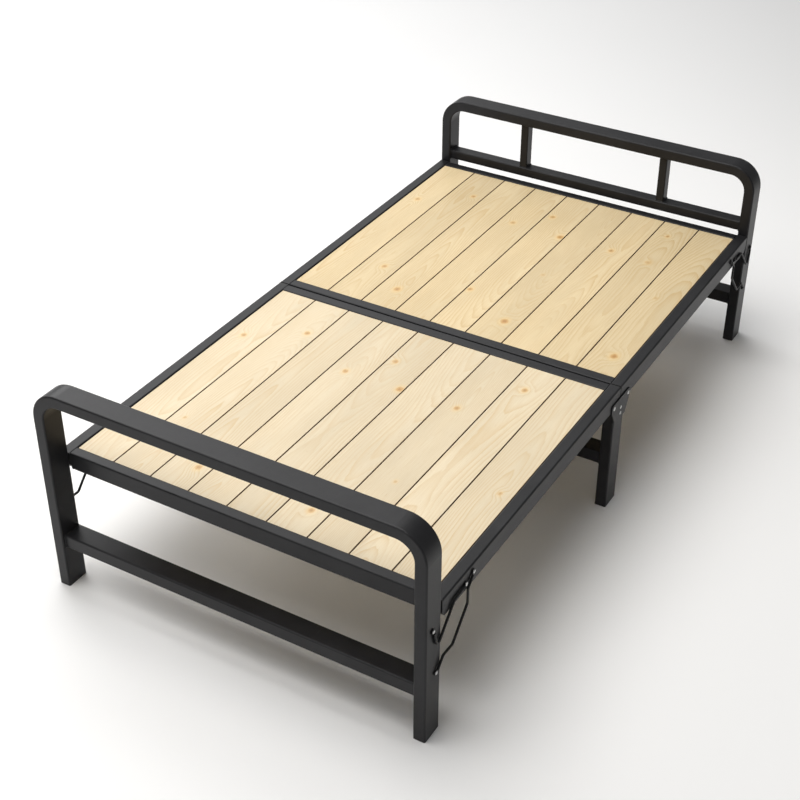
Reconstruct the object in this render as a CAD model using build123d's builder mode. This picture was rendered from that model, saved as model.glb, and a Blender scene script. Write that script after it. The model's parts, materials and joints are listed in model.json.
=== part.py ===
"""Folding cot.

Two plank deck halves hang on a centre leg by riveted hinge plates and fold down.
At each end a U-shaped frame hangs on two short links and is guided by two long
bent links, so that it swings in under its deck half.

X runs along the bed (foot end at -X, head end at +X), Y across it, Z up.
The origin is on the floor under the middle of the bed.
Places along the bed are given as distances from the middle, and `side` is -1 for
the foot half and +1 for the head half. `flank` is -1 or +1 along Y.
"""

import os
from math import asin, degrees

from build123d import *

os.makedirs("parts", exist_ok=True)

# ---- driving dimensions, millimetres -------------------------------------------
half_length = 953.0        # middle of the bed to the outer face of an end frame
half_width = 500.0         # middle of the bed to the outer side faces
frame_height = 556.0       # floor to the top of either end frame
deck_top = 352.0           # floor to the top of the deck rails
frame_depth = 60.0         # leg tube, along the bed
tube_width = 30.0          # every frame and rail tube, across its thin way
wall = 1.5                 # tube wall
corner = 4.0               # outer corner radius of the tubes
bend_radius = 60.0         # centre-line radius of the U-frame bends

rail_height = 50.0         # side and centre rails
end_rail = (28.0, 45.0)    # thickness and height of the rail at the outer end
seam_half = 1.75           # half the seam between the two deck halves
deck_gap = 4.0             # free space between the deck end and the end frame

board_count = 9
board_thickness = 12.0
board_gap = 2.0
board_drop = 2.0           # board tops below the rail tops
board_end_gap = 0.5
bearer = (25.0, 25.0)      # width and height of the cross bearers under the boards
bearer_places = (78.0, 322.0, 566.0, 822.0)
screw_radius = 1.75
screw_head_radius = 4.0
screw_head_height = 2.0
screw_bite = 9.0           # screw length inside a board

crossbar = (51.0, 36.0)    # depth and height of the end-frame crossbars
crossbar_bottom = {-1: 114.0, 1: 120.0}
centre_bar = (50.0, 36.0)
centre_bar_bottom = 128.0
centre_bar_middle = -5.0   # the bar sits flush with the foot side of the centre legs
headboard_rail = (38.0, 28.0)
headboard_rail_top = 388.0
headboard_setback = 5.0    # headboard rail behind the inner face of the head frame
post = (34.0, 24.0)        # headboard posts, along and across the bed
post_setback = 9.0
post_place = 222.0         # headboard posts from the middle, across the bed

centre_leg_top = 301.0
hinge = (42.0, 313.0)      # deck hinge: distance from the middle, and height
plate_reach = 54.0         # half the length of the hinge plate
plate_top = 324.0
plate_waist = 303.0        # height at which the plate starts to narrow
plate_bottom = 262.0
plate_thickness = 3.0
plate_rivet_heights = (294.0, 277.0)

short_rail_pin = (793.0, 324.0)    # short link on the deck rail
short_leg_pin = (929.0, 301.0)     # short link on the frame leg
short_bends = ((845.0, 321.0), (914.0, 248.0))
long_rail_pin = (760.0, 334.0)     # long link on the deck rail
long_leg_pin = (915.0, 175.0)      # long link on the frame leg
long_bends = ((786.0, 308.0), (786.0, 268.0), (848.0, 201.0), (888.0, 203.0))
rod_radius = 3.0
rod_lift = 0.2             # round stock stands a little proud of the flattened eyes
rod_bend_radius = 9.0
eye_radius = 6.5
eye_thickness = 3.0
face_gap = 0.3             # free space between faces that slide past each other

pin_radius = 2.4           # 4.8 mm blind rivets
pin_head = 4.5
hinge_pin_radius = 3.0
hinge_pin_head = 5.5
pin_clearance = 0.05
head_height = 2.0
tail_height = 1.2
tail_lip = 1.0             # formed tail wider than the shank

foot_plate = 3.0           # thickness of the plastic feet under the tubes
plug_plate = 2.0           # flange of the plastic plugs in open tube ends
plug_depth = 14.0          # how far plugs and feet reach into their tubes
plug_clearance = 0.1
end_slope = (12.0, 16.0)   # sloped lower corner of a side rail, length and height

# ---- places worked out from the dimensions -------------------------------------
leg_face = half_length - frame_depth       # inner face of the end frames
deck_end = leg_face - deck_gap
rail_bottom = deck_top - rail_height
inner_side = half_width - tube_width       # inner faces of the side rails and legs
tube_line = half_width - tube_width / 2    # centre line of the side rails and legs
board_top = deck_top - board_drop
board_bottom = board_top - board_thickness
outer_skin = half_width + face_gap         # inner face of the links and plates
blind_tail = half_width - wall - 0.05      # where a blind rivet's formed tail starts


def save(piece, name):
    """Label a finished piece and write it to its own file."""
    piece.label = name
    export_step(piece, f"parts/{name}.step")


def ring(across, high):
    """Section of a rounded rectangular tube, centred on the sketch plane."""
    RectangleRounded(across, high, corner)
    RectangleRounded(across - 2 * wall, high - 2 * wall, corner - wall, mode=Mode.SUBTRACT)


def plane_along_x(x, y, z):
    """Plane with its normal along +X, its x across the bed and its y along Z."""
    return Plane(origin=(x, y, z), x_dir=(0, 1, 0), z_dir=(1, 0, 0))


def plane_along_y(x, y, z, flank=1):
    """Plane with its normal along +Y or -Y, its x along the bed and its y along Z."""
    return Plane(origin=(x, y, z), x_dir=(-flank, 0, 0), z_dir=(0, flank, 0))


def cross_tube(depth, height, place, z_bottom, reach=inner_side):
    """Hollow tube across the bed, centred at `place` along X."""
    with BuildPart() as tube:
        with BuildSketch(plane_along_y(place, -reach, z_bottom + height / 2)):
            ring(depth, height)
        extrude(amount=2 * reach)
    return tube.part


def drill_across(x, z, radius, y_from, y_to):
    """Cut a round hole along Y in the part being built."""
    with Locations(Location((x, (y_from + y_to) / 2, z), (90, 0, 0))):
        Cylinder(radius, abs(y_to - y_from), mode=Mode.SUBTRACT)


def dome(x, y, z, flank, radius):
    """Domed head standing on y and bulging away from the bed."""
    sphere = (radius**2 + head_height**2) / (2 * head_height)
    latitude = degrees(asin((sphere - head_height) / sphere))
    with Locations(Location((x, y, z), (-90 * flank, 0, 0))):
        Sphere(sphere, arc_size1=latitude, arc_size2=90,
               align=(Align.CENTER, Align.CENTER, Align.MIN))


def rivet(x, z, flank, radius, head_radius, y_head, y_tail):
    """One domed rivet along Y: head outside at y_head, formed tail beyond y_tail."""
    with Locations(Location((x, flank * (y_head + y_tail) / 2, z), (90, 0, 0))):
        Cylinder(radius, y_head - y_tail)
    dome(x, flank * y_head, z, flank, head_radius)
    with Locations(Location((x, flank * (y_tail - tail_height / 2), z), (90, 0, 0))):
        Cylinder(radius + tail_lip, tail_height)


# ---- end frames ----------------------------------------------------------------
def frame_tube(side):
    """The bent U-tube: two legs, two bends and the top rail."""
    x_mid = side * (leg_face + frame_depth / 2)
    top = frame_height - tube_width / 2
    with BuildPart() as frame:
        with BuildLine(Plane(origin=(x_mid, 0, 0), x_dir=(0, 1, 0), z_dir=(1, 0, 0))) as path:
            FilletPolyline(
                (-tube_line, foot_plate),
                (-tube_line, top),
                (tube_line, top),
                (tube_line, foot_plate),
                radius=bend_radius,
            )
        with BuildSketch(Plane(origin=(x_mid, -tube_line, foot_plate), z_dir=(0, 0, 1))):
            ring(frame_depth, tube_width)
        sweep(path=path.line)
        for flank in (-1, 1):
            drill_across(side * short_leg_pin[0], short_leg_pin[1], pin_radius + pin_clearance,
                         flank * (half_width - wall - 1), flank * (half_width + 1))
    return frame.part


def tube_feet(places, across=frame_depth, y_line=tube_line):
    """Plastic feet: a flush plate under each tube and a plug inside it."""
    with BuildPart() as feet:
        with BuildSketch():
            with Locations(*[(x, flank * y_line) for x in places for flank in (-1, 1)]):
                RectangleRounded(across, tube_width, corner)
        extrude(amount=foot_plate)
        with BuildSketch(Plane.XY.offset(foot_plate)):
            with Locations(*[(x, flank * y_line) for x in places for flank in (-1, 1)]):
                RectangleRounded(
                    across - 2 * wall - 2 * plug_clearance,
                    tube_width - 2 * wall - 2 * plug_clearance,
                    corner - wall,
                )
        extrude(amount=plug_depth)
    return feet.part


def leg_rivets(side):
    """Pivot rivets that hold the short links to the frame legs."""
    with BuildPart() as rivets:
        for flank in (-1, 1):
            rivet(side * short_leg_pin[0], short_leg_pin[1], flank, pin_radius, pin_head,
                  outer_skin + eye_thickness + 0.1, blind_tail)
    return rivets.part


# ---- links ---------------------------------------------------------------------
def bent_link(side, ends, bends, holes):
    """Bent round rods with flattened eyes, one on each side of the bed."""
    path_points = [ends[0], *bends, ends[1]]
    with BuildPart() as links:
        for flank in (-1, 1):
            rod_line = flank * (outer_skin + rod_radius + rod_lift)
            route = Plane(origin=(0, rod_line, 0), x_dir=(1, 0, 0), z_dir=(0, -1, 0))
            with BuildLine(route) as path:
                FilletPolyline(*[(side * u, z) for u, z in path_points], radius=rod_bend_radius)
            with BuildSketch(Plane(origin=path.line @ 0, z_dir=path.line % 0)):
                Circle(rod_radius)
            sweep(path=path.line)
            for u, z in ends:
                # the rod ends are pressed flat, so the round stock is cut away there
                with BuildSketch(plane_along_y(side * u, flank * (outer_skin + eye_thickness), z, flank)):
                    Circle(eye_radius + 1)
                extrude(amount=2 * rod_radius, mode=Mode.SUBTRACT)
                with BuildSketch(plane_along_y(side * u, flank * outer_skin, z, flank)):
                    Circle(eye_radius)
                extrude(amount=eye_thickness)
            for (u, z), radius in holes:
                drill_across(side * u, z, radius, flank * (outer_skin - 1), flank * (outer_skin + 9))
    return links.part


def link_end_rivets(side):
    """Rivets at the lower ends of the long links."""
    u, z = long_leg_pin
    with BuildPart() as rivets:
        for flank in (-1, 1):
            with Locations(Location((side * u, flank * (outer_skin + eye_thickness / 2), z), (90, 0, 0))):
                Cylinder(pin_radius, eye_thickness)
            dome(side * u, flank * (outer_skin + eye_thickness), z, flank, pin_head)
    return rivets.part


# ---- deck halves ---------------------------------------------------------------
def cut_end_slope(side):
    """Cut the sloped lower corner that the frame leg swings past."""
    length, height = end_slope
    with BuildSketch(plane_along_y(0, half_width + 1, 0, -1)) as slope:
        with BuildLine():
            Polyline(
                (side * (deck_end - length), rail_bottom),
                (side * deck_end, rail_bottom + height),
                (side * (deck_end + 1), rail_bottom + height),
                (side * (deck_end + 1), rail_bottom - 1),
                (side * (deck_end - length), rail_bottom - 1),
                close=True,
            )
        make_face()
    extrude(slope.sketch, amount=2 * half_width + 2, mode=Mode.SUBTRACT)


def side_rail(side, flank):
    """Hollow side rail with its pivot holes and sloped outer end."""
    near, far = seam_half + plug_plate, deck_end - plug_plate
    with BuildPart() as rail:
        with BuildSketch(plane_along_x(min(side * near, side * far), flank * tube_line,
                                       deck_top - rail_height / 2)):
            ring(tube_width, rail_height)
        extrude(amount=far - near)
        cut_end_slope(side)
        for u, z in (short_rail_pin, long_rail_pin):
            drill_across(side * u, z, pin_radius + pin_clearance,
                         flank * (half_width - wall - 1), flank * (half_width + 1))
        drill_across(side * hinge[0], hinge[1], hinge_pin_radius + pin_clearance,
                     flank * (inner_side - 1), flank * (half_width + 1))
    return rail.part


def rail_plugs(side):
    """Plastic plugs in both ends of the two side rails."""
    inside = (tube_width - 2 * wall - 2 * plug_clearance, rail_height - 2 * wall - 2 * plug_clearance)
    near, far = seam_half + plug_plate, deck_end - plug_plate
    with BuildPart() as plugs:
        for flank in (-1, 1):
            for u_from, u_to, size in (
                (seam_half, near, (tube_width, rail_height)),
                (near, near + plug_depth, inside),
                (far - plug_depth, far, inside),
                (far, deck_end, (tube_width, rail_height)),
            ):
                with BuildSketch(plane_along_x(min(side * u_from, side * u_to), flank * tube_line,
                                               deck_top - rail_height / 2)):
                    RectangleRounded(*size, corner - wall)
                extrude(amount=u_to - u_from)
        cut_end_slope(side)
    return plugs.part


def bearers(side):
    """Cross bearers under the boards, drilled for the board screws."""
    z_mid = board_bottom - bearer[1] / 2
    with BuildPart() as bars:
        for place in bearer_places:
            with BuildSketch(plane_along_y(side * place, -inner_side, z_mid)):
                ring(*bearer)
            extrude(amount=2 * inner_side)
        with BuildSketch(Plane.XY.offset(board_bottom - bearer[1] - 1)):
            with Locations(*screw_places(side)):
                Circle(screw_radius + pin_clearance)
        extrude(amount=bearer[1] + 2, mode=Mode.SUBTRACT)
    return bars.part


board_field = 2 * (inner_side - 1)
board_width = (board_field - (board_count - 1) * board_gap) / board_count
board_lines = [
    -board_field / 2 + board_width / 2 + i * (board_width + board_gap) for i in range(board_count)
]
board_start = seam_half + tube_width + board_end_gap
board_stop = deck_end - end_rail[0] - board_end_gap


def screw_places(side):
    """One screw through every board at the first and last bearer."""
    return [(side * bearer_places[i], y) for i in (0, -1) for y in board_lines]


def board(side, number):
    """One lengthwise board with eased long edges and two pilot holes."""
    y_mid = board_lines[number]
    with BuildPart() as plank:
        with BuildSketch(Plane.XY.offset(board_bottom)):
            with Locations((side * (board_start + board_stop) / 2, y_mid)):
                Rectangle(board_stop - board_start, board_width)
        extrude(amount=board_thickness)
        chamfer(plank.edges().filter_by(Axis.X).group_by(Axis.Z)[-1], 1.0)
        with BuildSketch(Plane.XY.offset(board_bottom)):
            with Locations(*[(x, y) for x, y in screw_places(side) if y == y_mid]):
                Circle(screw_radius + pin_clearance)
        extrude(amount=screw_bite, mode=Mode.SUBTRACT)
    return plank.part


def board_screws(side):
    """Pan-head screws driven up through the bearers into the boards."""
    under = board_bottom - bearer[1]
    with BuildPart() as screws:
        with BuildSketch(Plane.XY.offset(under - screw_head_height)):
            with Locations(*screw_places(side)):
                Circle(screw_head_radius)
        extrude(amount=screw_head_height)
        with BuildSketch(Plane.XY.offset(under)):
            with Locations(*screw_places(side)):
                Circle(screw_radius)
        extrude(amount=bearer[1] + screw_bite - 0.5)
    return screws.part


def rail_rivets(side):
    """Pivot rivets that hold both pairs of links to the side rails."""
    with BuildPart() as rivets:
        for u, z in (short_rail_pin, long_rail_pin):
            for flank in (-1, 1):
                rivet(side * u, z, flank, pin_radius, pin_head,
                      outer_skin + eye_thickness + 0.1, blind_tail)
    return rivets.part


for side, end in ((-1, "foot"), (1, "head")):
    save(frame_tube(side), f"{end}_frame_tube")
    bar_middle = side * (leg_face + crossbar[0] / 2)
    save(cross_tube(*crossbar, bar_middle, crossbar_bottom[side]), f"{end}_crossbar")
    save(tube_feet([side * (leg_face + frame_depth / 2)]), f"{end}_frame_feet")
    save(leg_rivets(side), f"{end}_leg_rivets")

    short_ends = (short_rail_pin, short_leg_pin)
    short_holes = [(pin, pin_radius + pin_clearance) for pin in short_ends]
    save(bent_link(side, short_ends, short_bends, short_holes), f"{end}_short_links")
    long_ends = (long_rail_pin, long_leg_pin)
    long_holes = [(long_rail_pin, pin_radius + pin_clearance), (long_leg_pin, pin_radius)]
    save(bent_link(side, long_ends, long_bends, long_holes), f"{end}_long_links")
    save(link_end_rivets(side), f"{end}_link_end_rivets")

    for flank, place in ((-1, "near"), (1, "far")):
        save(side_rail(side, flank), f"{end}_rail_{place}")
    save(cross_tube(*end_rail, side * (deck_end - end_rail[0] / 2), deck_top - end_rail[1]),
         f"{end}_end_rail")
    save(cross_tube(tube_width, rail_height, side * (seam_half + tube_width / 2), rail_bottom),
         f"{end}_centre_rail")
    save(rail_plugs(side), f"{end}_rail_plugs")
    save(bearers(side), f"{end}_bearers")
    for number in range(board_count):
        save(board(side, number), f"{end}_board_{number + 1}")
    save(board_screws(side), f"{end}_board_screws")
    save(rail_rivets(side), f"{end}_rail_rivets")

# ---- headboard -----------------------------------------------------------------
headboard_middle = leg_face + headboard_setback + headboard_rail[0] / 2
headboard_bottom = headboard_rail_top - headboard_rail[1]
save(cross_tube(*headboard_rail, headboard_middle, headboard_bottom), "headboard_rail")

with BuildPart() as headboard_posts:
    with BuildSketch(Plane.XY.offset(headboard_rail_top)):
        for flank in (-1, 1):
            with Locations((leg_face + post_setback + post[0] / 2, flank * post_place)):
                ring(*post)
    extrude(amount=frame_height - tube_width - headboard_rail_top)
save(headboard_posts.part, "headboard_posts")

# ---- centre leg and hinge plates -----------------------------------------------
centre_line = half_width + face_gap - tube_width / 2
for flank, place in ((-1, "near"), (1, "far")):
    with BuildPart() as centre_leg:
        with BuildSketch(Plane.XY.offset(foot_plate)):
            with Locations((0, flank * centre_line)):
                ring(frame_depth, tube_width)
        extrude(amount=centre_leg_top - foot_plate)
        for z in plate_rivet_heights:
            drill_across(0, z, pin_radius + pin_clearance,
                         flank * (half_width - wall - 1), flank * (half_width + 2))
    save(centre_leg.part, f"centre_leg_{place}")

save(cross_tube(*centre_bar, centre_bar_middle, centre_bar_bottom, inner_side + face_gap),
     "centre_crossbar")

with BuildPart() as centre_feet:
    for z, height, margin in (
        (0, foot_plate, 0),
        (foot_plate, plug_depth, wall + plug_clearance),
        (centre_leg_top - plug_plate, plug_plate, wall + plug_clearance),
    ):
        with BuildSketch(Plane.XY.offset(z)):
            with Locations((0, -centre_line), (0, centre_line)):
                RectangleRounded(frame_depth - 2 * margin, tube_width - 2 * margin, corner - wall)
        extrude(amount=height)
save(centre_feet.part, "centre_leg_feet")

with BuildPart() as hinge_plates:
    for flank in (-1, 1):
        with BuildSketch(plane_along_y(0, flank * outer_skin, 0, flank)) as outline:
            with BuildLine():
                Polyline(
                    (-plate_reach, plate_waist),
                    (-plate_reach, plate_top),
                    (plate_reach, plate_top),
                    (plate_reach, plate_waist),
                    (frame_depth / 2, plate_bottom),
                    (-frame_depth / 2, plate_bottom),
                    close=True,
                )
            make_face()
            fillet(outline.vertices(), 7)
        extrude(amount=plate_thickness)
        for x in (-hinge[0], hinge[0]):
            drill_across(x, hinge[1], hinge_pin_radius + pin_clearance,
                         flank * (outer_skin - 1), flank * (outer_skin + 5))
        for z in plate_rivet_heights:
            drill_across(0, z, pin_radius + pin_clearance,
                         flank * (outer_skin - 1), flank * (outer_skin + 5))
save(hinge_plates.part, "hinge_plates")

with BuildPart() as hinge_pins:
    for flank in (-1, 1):
        for x in (-hinge[0], hinge[0]):
            rivet(x, hinge[1], flank, hinge_pin_radius, hinge_pin_head,
                  outer_skin + plate_thickness, inner_side - face_gap)
save(hinge_pins.part, "hinge_pins")

with BuildPart() as plate_rivets:
    for flank in (-1, 1):
        for z in plate_rivet_heights:
            rivet(0, z, flank, pin_radius, pin_head,
                  outer_skin + plate_thickness, blind_tail + face_gap)
save(plate_rivets.part, "plate_rivets")
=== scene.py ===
import json
import math
import random

import bpy
import numpy as np
from mathutils import Euler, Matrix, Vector

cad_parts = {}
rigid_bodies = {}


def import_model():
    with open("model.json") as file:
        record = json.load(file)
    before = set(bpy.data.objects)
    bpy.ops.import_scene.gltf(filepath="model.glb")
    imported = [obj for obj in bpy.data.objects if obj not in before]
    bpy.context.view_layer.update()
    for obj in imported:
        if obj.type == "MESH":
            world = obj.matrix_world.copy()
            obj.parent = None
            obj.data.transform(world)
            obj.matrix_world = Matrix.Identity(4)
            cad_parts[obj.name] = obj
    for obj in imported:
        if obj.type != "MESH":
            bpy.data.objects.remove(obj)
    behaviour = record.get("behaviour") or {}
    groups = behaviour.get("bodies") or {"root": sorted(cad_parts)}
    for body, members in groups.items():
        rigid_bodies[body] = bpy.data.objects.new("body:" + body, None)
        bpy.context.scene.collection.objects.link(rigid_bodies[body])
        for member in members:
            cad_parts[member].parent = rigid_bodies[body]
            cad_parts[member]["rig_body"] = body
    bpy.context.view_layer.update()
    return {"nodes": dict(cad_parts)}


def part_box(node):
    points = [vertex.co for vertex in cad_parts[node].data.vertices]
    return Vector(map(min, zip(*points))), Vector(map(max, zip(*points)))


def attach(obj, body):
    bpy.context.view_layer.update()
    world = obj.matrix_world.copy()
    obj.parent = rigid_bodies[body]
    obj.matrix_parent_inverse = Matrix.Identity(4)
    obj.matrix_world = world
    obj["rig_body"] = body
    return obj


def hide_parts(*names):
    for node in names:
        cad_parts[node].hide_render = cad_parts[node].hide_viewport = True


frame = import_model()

nodes = frame["nodes"]
MM = 0.001

# (direction of the end along X, its name)
ENDS = ((-1, "foot"), (1, "head"))
BOARDS_PER_HALF = 9

# fasteners
rivet_radius = 2.4 * MM
hinge_pin_radius = 3.0 * MM
head_height = 2.0 * MM
dimple_radius = 1.25 * MM
dimple_depth = 0.9 * MM
dome_steps = 9
screw_radius = 1.75 * MM
thread_pitch = 1.4 * MM
lobed_below = 2.1 * MM           # a screw's rings are lobed if their radius is less than this

# weld beads
tube_bead = 2.1 * MM             # radius of the bead at a large tube
thin_bead = 1.7 * MM             # at a bearer or a headboard post
bead_lift = 0.5 * MM             # middle of the bead above the tube and the wall
bead_pitch = 1.1 * MM            # between the bead's rings
bead_corner = 4.0 * MM           # radius of the path at a tube's corner
ripple_rings = 2.6               # rings in one ripple
drift_rings = 12                 # rings between two changes of thickness
bar_stop = 2.0 * MM              # a crossbar's weld stops this short of its unwelded face
rail_stop = 2.5 * MM             # and an end or centre rail's
below_boards = 18.0 * MM         # a rail's weld stops this far under its top
below_bearer_top = 4.0 * MM


# ---- small helpers -------------------------------------------------------------
def linear(r, g, b):
    """Shader colour from 0-255 screen values."""
    out = []
    for v in (r, g, b):
        v /= 255.0
        out.append(v / 12.92 if v <= 0.04045 else ((v + 0.055) / 1.055) ** 2.4)
    return (*out, 1.0)


def shade(rgb, k):
    """Shader colour of 0-255 screen values, k times as bright on the screen."""
    return linear(*[max(0.0, min(255.0, v * k)) for v in rgb])


def islands(node):
    """(low corner, high corner) of every separate solid in a CAD node."""
    mesh = nodes[node].data
    co = np.array([v.co for v in mesh.vertices], float)
    keys = {}
    ids = [keys.setdefault(tuple(np.round(c, 5)), len(keys)) for c in co]
    parent = list(range(len(keys)))

    def root(i):
        while parent[i] != i:
            parent[i] = parent[parent[i]]
            i = parent[i]
        return i

    for edge in mesh.edges:
        a, b = root(ids[edge.vertices[0]]), root(ids[edge.vertices[1]])
        if a != b:
            parent[a] = b
    groups = {}
    for c, i in zip(co, ids):
        groups.setdefault(root(i), []).append(c)
    boxes = [(Vector(np.min(g, axis=0)), Vector(np.max(g, axis=0))) for g in groups.values()]
    return sorted(boxes, key=lambda b: tuple(round(v, 4) for v in b[0]))


def mesh_object(name, parts):
    """One smooth-shaded object from a list of (vertices, faces)."""
    verts, faces = [], []
    for part_verts, part_faces in parts:
        shift = len(verts)
        verts += part_verts
        faces += [tuple(i + shift for i in f) for f in part_faces]
    mesh = bpy.data.meshes.new(name)
    mesh.from_pydata([tuple(v) for v in verts], [], faces)
    mesh.update()
    mesh.validate()
    mesh.polygons.foreach_set("use_smooth", [True] * len(mesh.polygons))
    piece = bpy.data.objects.new(name, mesh)
    bpy.context.scene.collection.objects.link(piece)
    return piece


def rings_to_mesh(rings, closed_path=False):
    """Quads between equal-sized rings of points, with closed ends on an open path."""
    n = len(rings[0])
    verts = [p for ring in rings for p in ring]
    faces = []
    count = len(rings)
    for i in range(count if closed_path else count - 1):
        j = (i + 1) % count
        for k in range(n):
            m = (k + 1) % n
            faces.append((i * n + k, i * n + m, j * n + m, j * n + k))
    if not closed_path:
        faces.append(tuple(reversed(range(n))))
        faces.append(tuple(range((count - 1) * n, count * n)))
    return verts, faces


def assign(piece, material):
    piece.data.materials.clear()
    piece.data.materials.append(material)


# ---- materials -----------------------------------------------------------------
class Graph:
    """Short way of adding linked nodes to a material."""

    def __init__(self, name):
        self.material = bpy.data.materials.new(name)
        self.material.use_nodes = True
        self.tree = self.material.node_tree
        self.shader = self.tree.nodes["Principled BSDF"]

    def put(self, socket, value):
        if isinstance(value, bpy.types.NodeSocket):
            self.tree.links.new(value, socket)
        else:
            socket.default_value = value

    def add(self, kind, *values, output=0, **settings):
        """New node: values go to its inputs in order, Capitalised settings to inputs by name."""
        node = self.tree.nodes.new(kind)
        for key, value in settings.items():
            if not key[0].isupper():
                setattr(node, key, value)
        for i, value in enumerate(values):
            self.put(node.inputs[i], value)
        for key, value in settings.items():
            if key[0].isupper():
                self.put(node.inputs[key.replace("_", " ")], value)
        return node.outputs[output]

    def math(self, operation, *values):
        return self.add("ShaderNodeMath", *values, operation=operation)

    def radius(self, a, b):
        """How far the point (a, b) lies from (0, 0)."""
        return self.math("SQRT", self.math("ADD", self.math("MULTIPLY", a, a), self.math("MULTIPLY", b, b)))

    def coordinates(self):
        return self.add("ShaderNodeTexCoord", output="Object")

    def split(self, vector):
        node = self.tree.nodes.new("ShaderNodeSeparateXYZ")
        self.put(node.inputs[0], vector)
        return node.outputs

    def scaled(self, vector, scale, shift=(0.0, 0.0, 0.0)):
        mapping = self.tree.nodes.new("ShaderNodeMapping")
        self.put(mapping.inputs["Vector"], vector)
        mapping.inputs["Scale"].default_value = scale
        mapping.inputs["Location"].default_value = shift
        return mapping.outputs[0]

    def noise(self, vector, scale, detail=2.0, roughness=0.5, distortion=0.0):
        return self.add("ShaderNodeTexNoise", Vector=vector, Scale=scale, Detail=detail,
                        Roughness=roughness, Distortion=distortion)

    def remap(self, value, low, high, to_low=0.0, to_high=1.0):
        """Smooth step from to_low at low to to_high at high."""
        return self.add("ShaderNodeMapRange", value, low, high, to_low, to_high,
                        interpolation_type="SMOOTHSTEP", clamp=True)

    def mix(self, factor, a, b):
        """Blend of two colours, which are inputs 6 and 7 and output 2 of the mix node."""
        node = self.tree.nodes.new("ShaderNodeMix")
        node.data_type = "RGBA"
        self.put(node.inputs["Factor"], factor)
        self.put(node.inputs[6], a)
        self.put(node.inputs[7], b)
        return node.outputs[2]

    def bump(self, height, distance, strength, before=None):
        values = {"Height": height, "Distance": distance, "Strength": strength}
        if before is not None:
            values["Normal"] = before
        return self.add("ShaderNodeBump", **values)

    def finish(self, **sockets):
        for key, value in sockets.items():
            self.put(self.shader.inputs[key.replace("_", " ")], value)
        return self.material


def powder_coat(name, dark, light, peel_height=0.16 * MM):
    """Satin powder coat: orange-peel surface, faint cloudiness, fine speckle, handling rubs."""
    g = Graph(name)
    at = g.coordinates()
    clouds = g.noise(at, 7.0, 4.0, 0.6)
    speckle = g.noise(at, 1500.0, 2.0, 0.6)
    tone = g.math("MULTIPLY_ADD", speckle, 0.35, g.math("MULTIPLY", clouds, 0.75))
    colour = g.mix(g.remap(tone, 0.36, 0.74), dark, light)
    rubs = g.noise(g.scaled(at, (6.0, 40.0, 40.0)), 1.0, 6.0, 0.7, 0.6)
    rubbed = g.remap(rubs, 0.60, 0.80, 0.0, 0.30)
    colour = g.mix(rubbed, colour, linear(64, 64, 66))
    rough = g.math("MULTIPLY_ADD", clouds, 0.16, 0.30)
    rough = g.math("MULTIPLY_ADD", rubbed, -0.22, rough)
    peel = g.noise(at, 520.0, 1.5, 0.5)
    grit = g.noise(at, 2600.0, 1.0, 0.5)
    normal = g.bump(grit, 0.03 * MM, 0.6, g.bump(peel, peel_height, 0.8))
    return g.finish(Base_Color=colour, Roughness=rough, Normal=normal, IOR=1.5,
                    Specular_IOR_Level=0.24)


def ring_phase(g, at, shift, box, rnd):
    """How many growth rings each point of a board lies from a heart line under the board."""
    low, high = box
    heart_y = (low.y + high.y) / 2 + rnd.uniform(-0.030, 0.030)
    heart_z = low.z - rnd.uniform(0.010, 0.050)
    slope = rnd.choice((-1, 1)) * rnd.uniform(0.02, 0.05)
    spacing = rnd.uniform(0.0042, 0.0058)
    # the heart line wanders slowly, and the rings have finer waves
    wander = g.add("ShaderNodeTexNoise", output="Color", Scale=1.0, Detail=1.0,
                   Vector=g.scaled(at, (1.3, 3.0, 3.0), shift))
    wander = g.add("ShaderNodeVectorMath", wander, (0.5, 0.5, 0.5), operation="SUBTRACT")
    _, wander_y, wander_z = g.split(wander)
    x, y, z = g.split(at)
    dy = g.math("MULTIPLY_ADD", wander_y, 0.10, g.math("SUBTRACT", y, heart_y))
    dz = g.math("MULTIPLY_ADD", wander_z, 0.10, g.math("SUBTRACT", z, heart_z))
    dz = g.math("MULTIPLY_ADD", x, slope, dz)
    wave = g.noise(g.scaled(at, (9.0, 60.0, 60.0), shift), 1.0, 3.0, 0.55)
    return g.math("MULTIPLY_ADD", wave, 0.75, g.math("DIVIDE", g.radius(dy, dz), spacing))


def knot_marks(g, at, phase, knots):
    """Masks of the knots' cores, halos and eyes, and the ring phase bent round the knots."""
    x, y, _ = g.split(at)
    rough_edge = g.math("SUBTRACT", g.noise(at, 150.0, 2.0), 0.5)
    core, halo, eye = 0.0, 0.0, 0.0
    for knot_x, knot_y, size, strength in knots:
        # an ellipse along the grain, with a rough outline
        along = g.math("DIVIDE", g.math("SUBTRACT", x, knot_x), 1.15)
        across = g.math("SUBTRACT", y, knot_y)
        span = g.math("MULTIPLY_ADD", rough_edge, size * 0.55, g.radius(along, across))
        core = g.math("MAXIMUM", g.remap(span, size * 0.55, size * 1.05, strength, 0.0), core)
        eye = g.math("MAXIMUM", g.remap(span, size * 0.15, size * 0.6, strength, 0.0), eye)
        # the halo runs a little further along the grain
        wide = g.radius(g.math("DIVIDE", along, 1.25), across)
        halo = g.math("MAXIMUM", g.remap(wide, size * 0.6, size * 1.9, strength * 0.55, 0.0), halo)
        phase = g.math("ADD", phase, g.remap(wide, 0.0, size * 3.4, 2.8 * strength, 0.0))
    return core, halo, eye, phase


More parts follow.
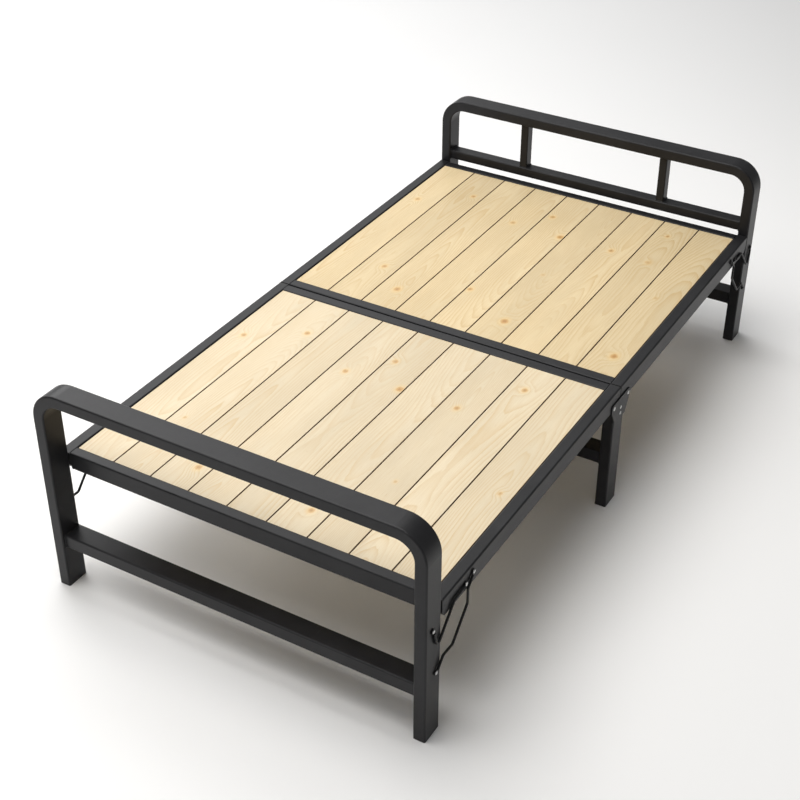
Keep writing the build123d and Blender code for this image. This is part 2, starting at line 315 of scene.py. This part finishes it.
def pine(board, knots, pale, ring_tone, lift):
    """Flat-sawn pine: growth rings, fibres, resin flecks and knots, different on every board."""
    rnd = random.Random(f"{board} grain")
    g = Graph(f"pine_{board}")
    at = g.coordinates()
    shift = tuple(rnd.uniform(-20, 20) for _ in range(3))
    phase = ring_phase(g, at, shift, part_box(board), rnd)
    if knots:
        core, halo, eye, phase = knot_marks(g, at, phase, knots)

    ring = g.math("FRACT", phase)
    late = g.math("MULTIPLY", g.math("POWER", ring, 2.6), g.remap(ring, 0.90, 1.0, 1.0, 0.0))
    patches = g.noise(g.scaled(at, (2.2, 12.0, 12.0), shift), 1.0, 2.0)
    late = g.math("MULTIPLY", late, g.remap(patches, 0.34, 0.66, 0.45, 1.0))
    fibres = g.noise(g.scaled(at, (14.0, 900.0, 900.0), shift), 1.0, 4.0, 0.6)
    fine = g.noise(g.scaled(at, (60.0, 2600.0, 2600.0), shift), 1.0, 2.0, 0.6)
    blotch = g.noise(g.scaled(at, (3.0, 9.0, 9.0), shift), 1.0, 3.0, 0.55)
    flecks = g.remap(g.noise(g.scaled(at, (45.0, 700.0, 700.0), shift), 1.0, 2.0, 0.5), 0.66, 0.76)

    colour = g.mix(g.remap(blotch, 0.30, 0.70), shade(pale, lift), shade(pale, lift * 0.955))
    colour = g.mix(g.math("MULTIPLY", late, 0.95), colour, shade(ring_tone, lift))
    colour = g.mix(g.remap(fibres, 0.35, 0.70, 0.0, 0.34), colour, shade(ring_tone, lift * 0.97))
    colour = g.mix(g.math("MULTIPLY", flecks, 0.34), colour, linear(176, 138, 84))
    rough = g.math("MULTIPLY_ADD", fibres, 0.14, 0.44)
    rough = g.math("MULTIPLY_ADD", late, -0.10, rough)
    if knots:
        colour = g.mix(halo, colour, shade((226, 195, 138), lift))
        knot_rings = g.math("MULTIPLY_ADD", g.math("SINE", g.math("MULTIPLY", phase, 9.0)), 0.10, 0.80)
        colour = g.mix(g.math("MULTIPLY", core, knot_rings), colour, linear(194, 148, 84))
        colour = g.mix(g.math("MULTIPLY", eye, 0.50), colour, linear(150, 104, 56))
        rough = g.math("MULTIPLY_ADD", core, -0.14, rough)
    # painted shade: the boards' sawn edges and ends are darkened to stand in for the shade in the gaps
    # between the boards
    facing_up = g.split(g.add("ShaderNodeTexCoord", output="Normal"))[2]
    edge_gap_shade = g.remap(g.math("ABSOLUTE", facing_up), 0.60, 0.96, 1.0, 0.0)
    colour = g.mix(edge_gap_shade, colour, linear(84, 56, 30))

    relief = g.math("MULTIPLY_ADD", late, 0.6, g.math("MULTIPLY", fibres, 0.5))
    relief = g.math("MULTIPLY_ADD", flecks, -0.4, relief)
    normal = g.bump(fine, 0.06 * MM, 0.5, g.bump(relief, 0.22 * MM, 0.7))
    return g.finish(Base_Color=colour, Roughness=rough, Normal=normal, IOR=1.45)


def steel(name):
    """Bright rivet steel with fine turning marks and dull patches."""
    g = Graph(name)
    at = g.coordinates()
    patches = g.noise(at, 420.0, 3.0, 0.6)
    marks = g.noise(g.scaled(at, (900.0, 5200.0, 900.0)), 1.0, 3.0, 0.6)
    colour = g.mix(g.remap(patches, 0.35, 0.70), linear(226, 226, 224), linear(176, 176, 178))
    rough = g.math("MULTIPLY_ADD", patches, 0.22, 0.17)
    normal = g.bump(marks, 0.02 * MM, 0.6)
    return g.finish(Base_Color=colour, Roughness=rough, Normal=normal, Metallic=1.0)


def plastic(name):
    """Moulded black plastic with a fine spark-eroded grain."""
    g = Graph(name)
    at = g.coordinates()
    grain = g.noise(at, 1700.0, 2.0, 0.6)
    clouds = g.noise(at, 25.0, 3.0, 0.6)
    scuffs = g.remap(g.noise(g.scaled(at, (60.0, 60.0, 240.0)), 1.0, 5.0, 0.7), 0.58, 0.78)
    colour = g.mix(g.remap(clouds, 0.3, 0.7), linear(25, 25, 26), linear(38, 38, 39))
    colour = g.mix(g.math("MULTIPLY", scuffs, 0.35), colour, linear(86, 86, 86))
    rough = g.math("MULTIPLY_ADD", clouds, 0.16, 0.46)
    normal = g.bump(grain, 0.07 * MM, 0.7)
    return g.finish(Base_Color=colour, Roughness=rough, Normal=normal, IOR=1.46)


coat = powder_coat("charcoal_coat", linear(27, 27, 29), linear(39, 39, 41))
coat_rod = powder_coat("rod_coat", linear(22, 22, 23), linear(33, 33, 34))
coat_weld = powder_coat("weld_coat", linear(26, 26, 28), linear(38, 38, 40), peel_height=0.3 * MM)
metal = steel("rivet_metal")
black = plastic("foot_plastic")

for name, piece in nodes.items():
    if "feet" in name or "plugs" in name:
        assign(piece, black)
    elif "rivets" in name or "pins" in name or "screws" in name:
        assign(piece, metal)
    elif "links" in name:
        assign(piece, coat_rod)
    elif "_board_" not in name:
        assign(piece, coat)

# ---- boards --------------------------------------------------------------------
# board number, metres from the middle of the bed, share of the board's width, radius in mm, strength
KNOTS = {
    "foot": (
        (9, 0.27, 0.6, 9, 0.75), (8, 0.18, 0.3, 9, 0.85), (6, 0.28, 0.6, 9, 0.8), (5, 0.18, 0.8, 9, 0.75),
        (5, 0.28, 0.1, 11, 0.95), (3, 0.28, 0.6, 9, 0.8), (2, 0.13, 0.6, 9, 0.85), (7, 0.78, 0.3, 10, 0.8),
        (4, 0.78, 0.4, 9, 0.8), (8, 0.64, 0.7, 6, 0.5), (1, 0.52, 0.3, 7, 0.55), (3, 0.60, 0.4, 6, 0.45),
    ),
    "head": (
        (8, 0.22, 0.4, 9, 0.85), (7, 0.13, 0.5, 11, 0.9), (9, 0.62, 0.6, 9, 0.8), (8, 0.72, 0.3, 8, 0.85),
        (6, 0.63, 0.6, 9, 0.7), (5, 0.72, 0.8, 9, 0.9), (5, 0.62, 0.1, 11, 0.95), (3, 0.62, 0.6, 9, 0.8),
        (2, 0.78, 0.6, 7, 0.8), (2, 0.61, 0.5, 10, 0.5), (5, 0.23, 0.9, 9, 0.9), (4, 0.13, 0.4, 12, 0.95),
        (1, 0.12, 0.4, 12, 1.0), (4, 0.40, 0.6, 7, 0.3), (1, 0.44, 0.6, 8, 0.35),
    ),
}
# (early wood, late wood) in screen values: the foot half's boards are paler
PINE_TONES = {
    "foot": ((221, 207, 179), (203, 176, 131)),
    "head": ((222, 203, 164), (198, 167, 116)),
}


def dress_board(side, end, number):
    """Pine of its own for one board, with that board's knots and a small change of brightness."""
    board = f"{end}_board_{number}"
    low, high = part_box(board)
    knots = [(side * x, low.y + share * (high.y - low.y), size * MM, strength)
             for knot_board, x, share, size, strength in KNOTS[end] if knot_board == number]
    lift = random.Random(f"{board} tone").uniform(0.975, 1.015)
    assign(nodes[board], pine(board, knots, *PINE_TONES[end], lift))


for side, end in ENDS:
    for number in range(1, BOARDS_PER_HALF + 1):
        dress_board(side, end, number)


# ---- rivets, pins and screws ---------------------------------------------------
def lathe(base, direction, profile, steps=40, lobe=None):
    """Solid of revolution: profile is (distance along direction, radius), from base outwards.
    lobe(radius, angle) may change a radius, for a shaped drive recess."""
    along = Vector(direction).normalized()
    across = along.orthogonal().normalized()
    up = along.cross(across)
    rings = []
    for t, r in profile:
        ring = []
        for k in range(steps):
            a = 2 * math.pi * k / steps
            radius = lobe(r, a) if lobe else r
            ring.append(base + along * t + (across * math.cos(a) + up * math.sin(a)) * radius)
        rings.append(ring)
    return rings_to_mesh(rings)


def stand_in(node, parts, material):
    """Detailed piece in place of a CAD node, on the same body."""
    piece = mesh_object(f"{node}_detail", parts)
    assign(piece, material)
    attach(piece, nodes[node]["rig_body"])
    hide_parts(node)


def dome_profile(start, radius):
    """Rivet head standing on `start`, with the pulled-off pin's dimple in its middle."""
    out = [(start, radius * 0.985), (start + head_height * 0.12, radius)]
    for i in range(1, dome_steps):
        a = i / dome_steps * math.pi / 2
        r = radius * math.cos(a)
        if r > dimple_radius * 1.18:
            out.append((start + head_height * (0.12 + 0.88 * math.sin(a)), r))
    top = start + head_height
    return out + [(top, dimple_radius * 1.12), (start + head_height * 0.98, dimple_radius),
                  (top - dimple_depth, dimple_radius * 0.92), (top - dimple_depth, dimple_radius * 0.25)]


def rivet_set(node, shank, tail=True, painted=False):
    """Rivets or pins with a domed head outside the bed, and a formed tail inside if there is one."""
    parts = []
    for low, high in islands(node):
        flank = 1 if low.y + high.y > 0 else -1
        y_in = low.y if flank > 0 else high.y
        length = high.y - low.y
        head = (high.x - low.x) / 2
        if tail:
            profile = [(0.0, shank * 0.55), (0.25 * MM, shank + 0.55 * MM), (0.6 * MM, shank + 1.0 * MM),
                       (1.0 * MM, shank + 0.9 * MM), (1.2 * MM, shank)]
        else:
            profile = [(0.0, shank * 0.999)]
        profile += [(length - head_height, shank)]
        profile += dome_profile(length - head_height, head)
        base = Vector(((low.x + high.x) / 2, y_in, (low.z + high.z) / 2))
        parts.append(lathe(base, (0, flank, 0), profile))
    if painted:
        stand_in(node, parts, coat_rod)
    else:
        stand_in(node, parts, metal)


def star(r, a):
    """Six lobes on a screw's small rings: its drive recess, and its hidden shank and thread."""
    return r * (1.0 + 0.22 * math.cos(6 * a)) if r < lobed_below else r


def screw_profile(length, head):
    """Pan-head wood screw from its tip: point, thread, shank, head and drive recess."""
    base = length - head_height
    profile = [(0.0, 0.25 * MM), (1.5 * MM, screw_radius * 0.8)]
    for i in range(int((base - 2.0 * MM) / thread_pitch)):
        t = 2.0 * MM + i * thread_pitch
        profile += [(t, screw_radius * 0.82), (t + 0.55 * MM, screw_radius * 0.995),
                    (t + 0.8 * MM, screw_radius * 0.995)]
    return profile + [(base, screw_radius * 0.9), (base, head), (base + 0.7 * MM, head),
                      (base + 1.3 * MM, head * 0.94), (base + 1.7 * MM, head * 0.82),
                      (length, head * 0.60), (length, 1.95 * MM),
                      (base + 1.0 * MM, 1.75 * MM), (base + 1.0 * MM, 0.4 * MM)]


def screw_set(node):
    """Pan-head screws with a six-lobed recess, driven up through the bearers."""
    parts = []
    for low, high in islands(node):
        tip = Vector(((low.x + high.x) / 2, (low.y + high.y) / 2, high.z))
        profile = screw_profile(high.z - low.z, (high.x - low.x) / 2)
        parts.append(lathe(tip, (0, 0, -1), profile, 36, star))
    stand_in(node, parts, metal)


for side, end in ENDS:
    # the head end's rivets are coated with the frame, the others are left bright
    painted = end == "head"
    rivet_set(f"{end}_rail_rivets", rivet_radius, painted=painted)
    rivet_set(f"{end}_leg_rivets", rivet_radius, painted=painted)
    rivet_set(f"{end}_link_end_rivets", rivet_radius, tail=False, painted=painted)
    screw_set(f"{end}_board_screws")
rivet_set("hinge_pins", hinge_pin_radius)
rivet_set("plate_rivets", rivet_radius)


# ---- weld beads ----------------------------------------------------------------
def path_round(corners, closed):
    """Evenly spaced points along a 2-D path with rounded corners."""
    points = []
    n = len(corners)
    for i, corner in enumerate(corners):
        here = Vector(corner)
        if not closed and i in (0, n - 1):
            points.append(here)
            continue
        back = (Vector(corners[i - 1]) - here).normalized() * bead_corner
        ahead = (Vector(corners[(i + 1) % n]) - here).normalized() * bead_corner
        for k in range(7):
            t = k / 6
            points.append(here + back * (1 - t) ** 2 + ahead * t**2)
    if closed:
        points.append(points[0].copy())
    out, carry = [], 0.0
    for a, b in zip(points, points[1:]):
        length = (b - a).length
        while carry < length:
            out.append(a.lerp(b, carry / length))
            carry += bead_pitch
        carry -= length
    return out[:-1] if closed else out


def bead(corners, radius, plane, seed, closed):
    """Rippled weld bead along a rounded path. plane(u, v, w) gives the place in space."""
    rnd = random.Random(seed)
    path = path_round(corners, closed)
    n = len(path)
    slow = [rnd.uniform(-0.10, 0.10) for _ in range(n // drift_rings + 3)]
    rings = []
    for i, p in enumerate(path):
        ahead = path[(i + 1) % n] if closed or i + 1 < n else p
        behind = path[i - 1] if closed or i > 0 else p
        tangent = (ahead - behind).normalized()
        normal = Vector((tangent.y, -tangent.x))
        t = i / drift_rings
        k = int(t)
        drift = slow[k] * (1 - (t - k)) + slow[k + 1] * (t - k)
        if closed:
            drift *= min(1.0, i / drift_rings, (n - i) / drift_rings)
        size = radius * (1.0 + drift + 0.11 * math.sin(2 * math.pi * i / ripple_rings))
        if not closed:
            size *= min(1.0, 0.45 + 0.2 * min(i, n - 1 - i))
        ring = []
        for s in range(10):
            a = 2 * math.pi * s / 10
            q = p + normal * math.cos(a) * size
            ring.append(plane(q.x, q.y, math.sin(a) * size))
        rings.append(ring)
    return rings_to_mesh(rings, closed)


def inset(box, x_low=0.0, x_high=0.0, z_high=0.0):
    """A box drawn in from its faces."""
    low, high = box
    return Vector((low.x + x_low, low.y, low.z)), Vector((high.x - x_high, high.y, high.z - z_high))


def tube_joints(box, route, seed, radius=tube_bead):
    """Welds at both ends of a tube along Y. The route goes round the tube's section by its corners:
    a and b are the bottom corners, at low and high X, and c and d the top ones, at high and low X.
    A route of all four corners that ends in a dot is closed."""
    low, high = box
    x0, x1, z0, z1 = low.x - bead_lift, high.x + bead_lift, low.z - bead_lift, high.z + bead_lift
    corners = {"a": (x0, z0), "b": (x1, z0), "c": (x1, z1), "d": (x0, z1)}
    joints = []
    for wall_y in (low.y, high.y):
        inward = -1 if wall_y > 0 else 1

        def on_wall(u, v, w):
            return Vector((u, wall_y + inward * (bead_lift + w), v))

        joints.append(bead([corners[c] for c in route.strip(".")], radius, on_wall,
                           f"{seed} {wall_y:.2f}", route.endswith(".")))
    return joints


def post_joints():
    """Welds round the top and bottom of both headboard posts."""
    gap = 0.4 * MM
    joints = []
    for k, (low, high) in enumerate(islands("headboard_posts")):
        corners = [(low.x - gap, low.y - gap), (high.x + gap, low.y - gap),
                   (high.x + gap, high.y + gap), (low.x - gap, high.y + gap)]
        for level, sign in ((low.z, 1), (high.z, -1)):

            def on_rail(u, v, w):
                return Vector((u, v, level + sign * (gap + w)))

            joints.append(bead(corners, thin_bead, on_rail, f"post {k} {sign}", True))
    return joints


def weld_object(name, body, parts):
    piece = mesh_object(name, parts)
    assign(piece, coat_weld)
    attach(piece, body)


def frame_welds(side, end):
    """Welds of an end frame. Its crossbar isn't welded on the face towards the deck."""
    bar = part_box(f"{end}_crossbar")
    if side < 0:
        parts = tube_joints(inset(bar, x_high=bar_stop), "badc", f"{end} crossbar")
    else:
        parts = tube_joints(inset(bar, x_low=bar_stop), "abcd", f"{end} crossbar")
        parts += tube_joints(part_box("headboard_rail"), "abcd.", "headboard")
        parts += post_joints()
    weld_object(f"{end}_frame_welds", f"{end}_frame", parts)


def deck_welds(side, end):
    """Welds of a deck half: an end or centre rail is welded below and on its face towards the bearers,
    and a bearer on every face but its top."""
    parts = []
    for rail, route in (("end_rail", "dab" if side > 0 else "cba"),
                        ("centre_rail", "bad" if side < 0 else "abc")):
        node = f"{end}_{rail}"
        stop = {"x_high": rail_stop} if "d" in route else {"x_low": rail_stop}
        parts += tube_joints(inset(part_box(node), z_high=below_boards, **stop), route, node)
    for k, box in enumerate(islands(f"{end}_bearers")):
        parts += tube_joints(inset(box, z_high=below_bearer_top), "dabc", f"{end} bearer {k}", thin_bead)
    weld_object(f"{end}_deck_welds", f"{end}_half", parts)


for side, end in ENDS:
    frame_welds(side, end)
    deck_welds(side, end)
weld_object("centre_welds", "centre_leg",
            tube_joints(inset(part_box("centre_crossbar"), x_low=bar_stop), "abcd", "centre"))


# ---- floor, light, camera ------------------------------------------------------
def studio_floor(reach=40.0):
    """Pale matt floor, half a millimetre under the feet."""
    mesh = bpy.data.meshes.new("floor")
    corners = [(-reach, -reach, 0), (reach, -reach, 0), (reach, reach, 0), (-reach, reach, 0)]
    mesh.from_pydata(corners, [], [(0, 1, 2, 3)])
    floor = bpy.data.objects.new("floor", mesh)
    floor.location.z = -0.5 * MM
    bpy.context.scene.collection.objects.link(floor)
    g = Graph("floor_paint")
    tone = g.noise(g.coordinates(), 0.8, 2.0)
    pale = g.mix(tone, linear(247, 247, 247), linear(250, 250, 250))
    assign(floor, g.finish(Base_Color=pale, Roughness=0.9))


def softbox(name, place, aim, width, depth, watts, colour=(1.0, 1.0, 1.0)):
    data = bpy.data.lights.new(name, "AREA")
    data.shape = "RECTANGLE"
    data.size, data.size_y = width, depth
    data.energy = watts
    data.color = colour
    light = bpy.data.objects.new(name, data)
    light.location = place
    light.rotation_euler = (Vector(aim) - Vector(place)).to_track_quat("-Z", "Y").to_euler()
    bpy.context.scene.collection.objects.link(light)


def studio_world(strength):
    world = bpy.data.worlds.new("studio")
    bpy.context.scene.world = world
    world.use_nodes = True
    background = world.node_tree.nodes["Background"]
    background.inputs["Color"].default_value = (1.0, 1.0, 1.0, 1.0)
    background.inputs["Strength"].default_value = strength


def place_camera(place, degrees, lens):
    data = bpy.data.cameras.new("camera")
    data.sensor_width = 36.0
    data.lens = lens
    data.clip_end = 200.0
    camera = bpy.data.objects.new("camera", data)
    camera.location = place
    camera.rotation_euler = Euler([math.radians(v) for v in degrees])
    bpy.context.scene.collection.objects.link(camera)
    bpy.context.scene.camera = camera
    bpy.context.scene.view_settings.view_transform = "Standard"


studio_floor()
softbox("overhead", (-0.5, 0.7, 3.6), (-0.2, 0.1, 0.3), 3.6, 3.2, 146.0, (1.0, 0.985, 0.96))
softbox("back_left", (1.2, 3.6, 2.2), (0.2, 0.2, 0.3), 2.6, 1.2, 26.0)
softbox("backdrop", (4.5, 5.0, 4.0), (4.0, 4.2, 0.0), 6.0, 6.0, 210.0)
softbox("front", (-4.6, 0.4, 1.8), (-0.4, 0.0, 0.3), 1.6, 1.6, 18.0)
studio_world(0.17)
place_camera((-2.8468, -1.5534, 2.3629), (55.538, -0.077, -59.454), 66.85)
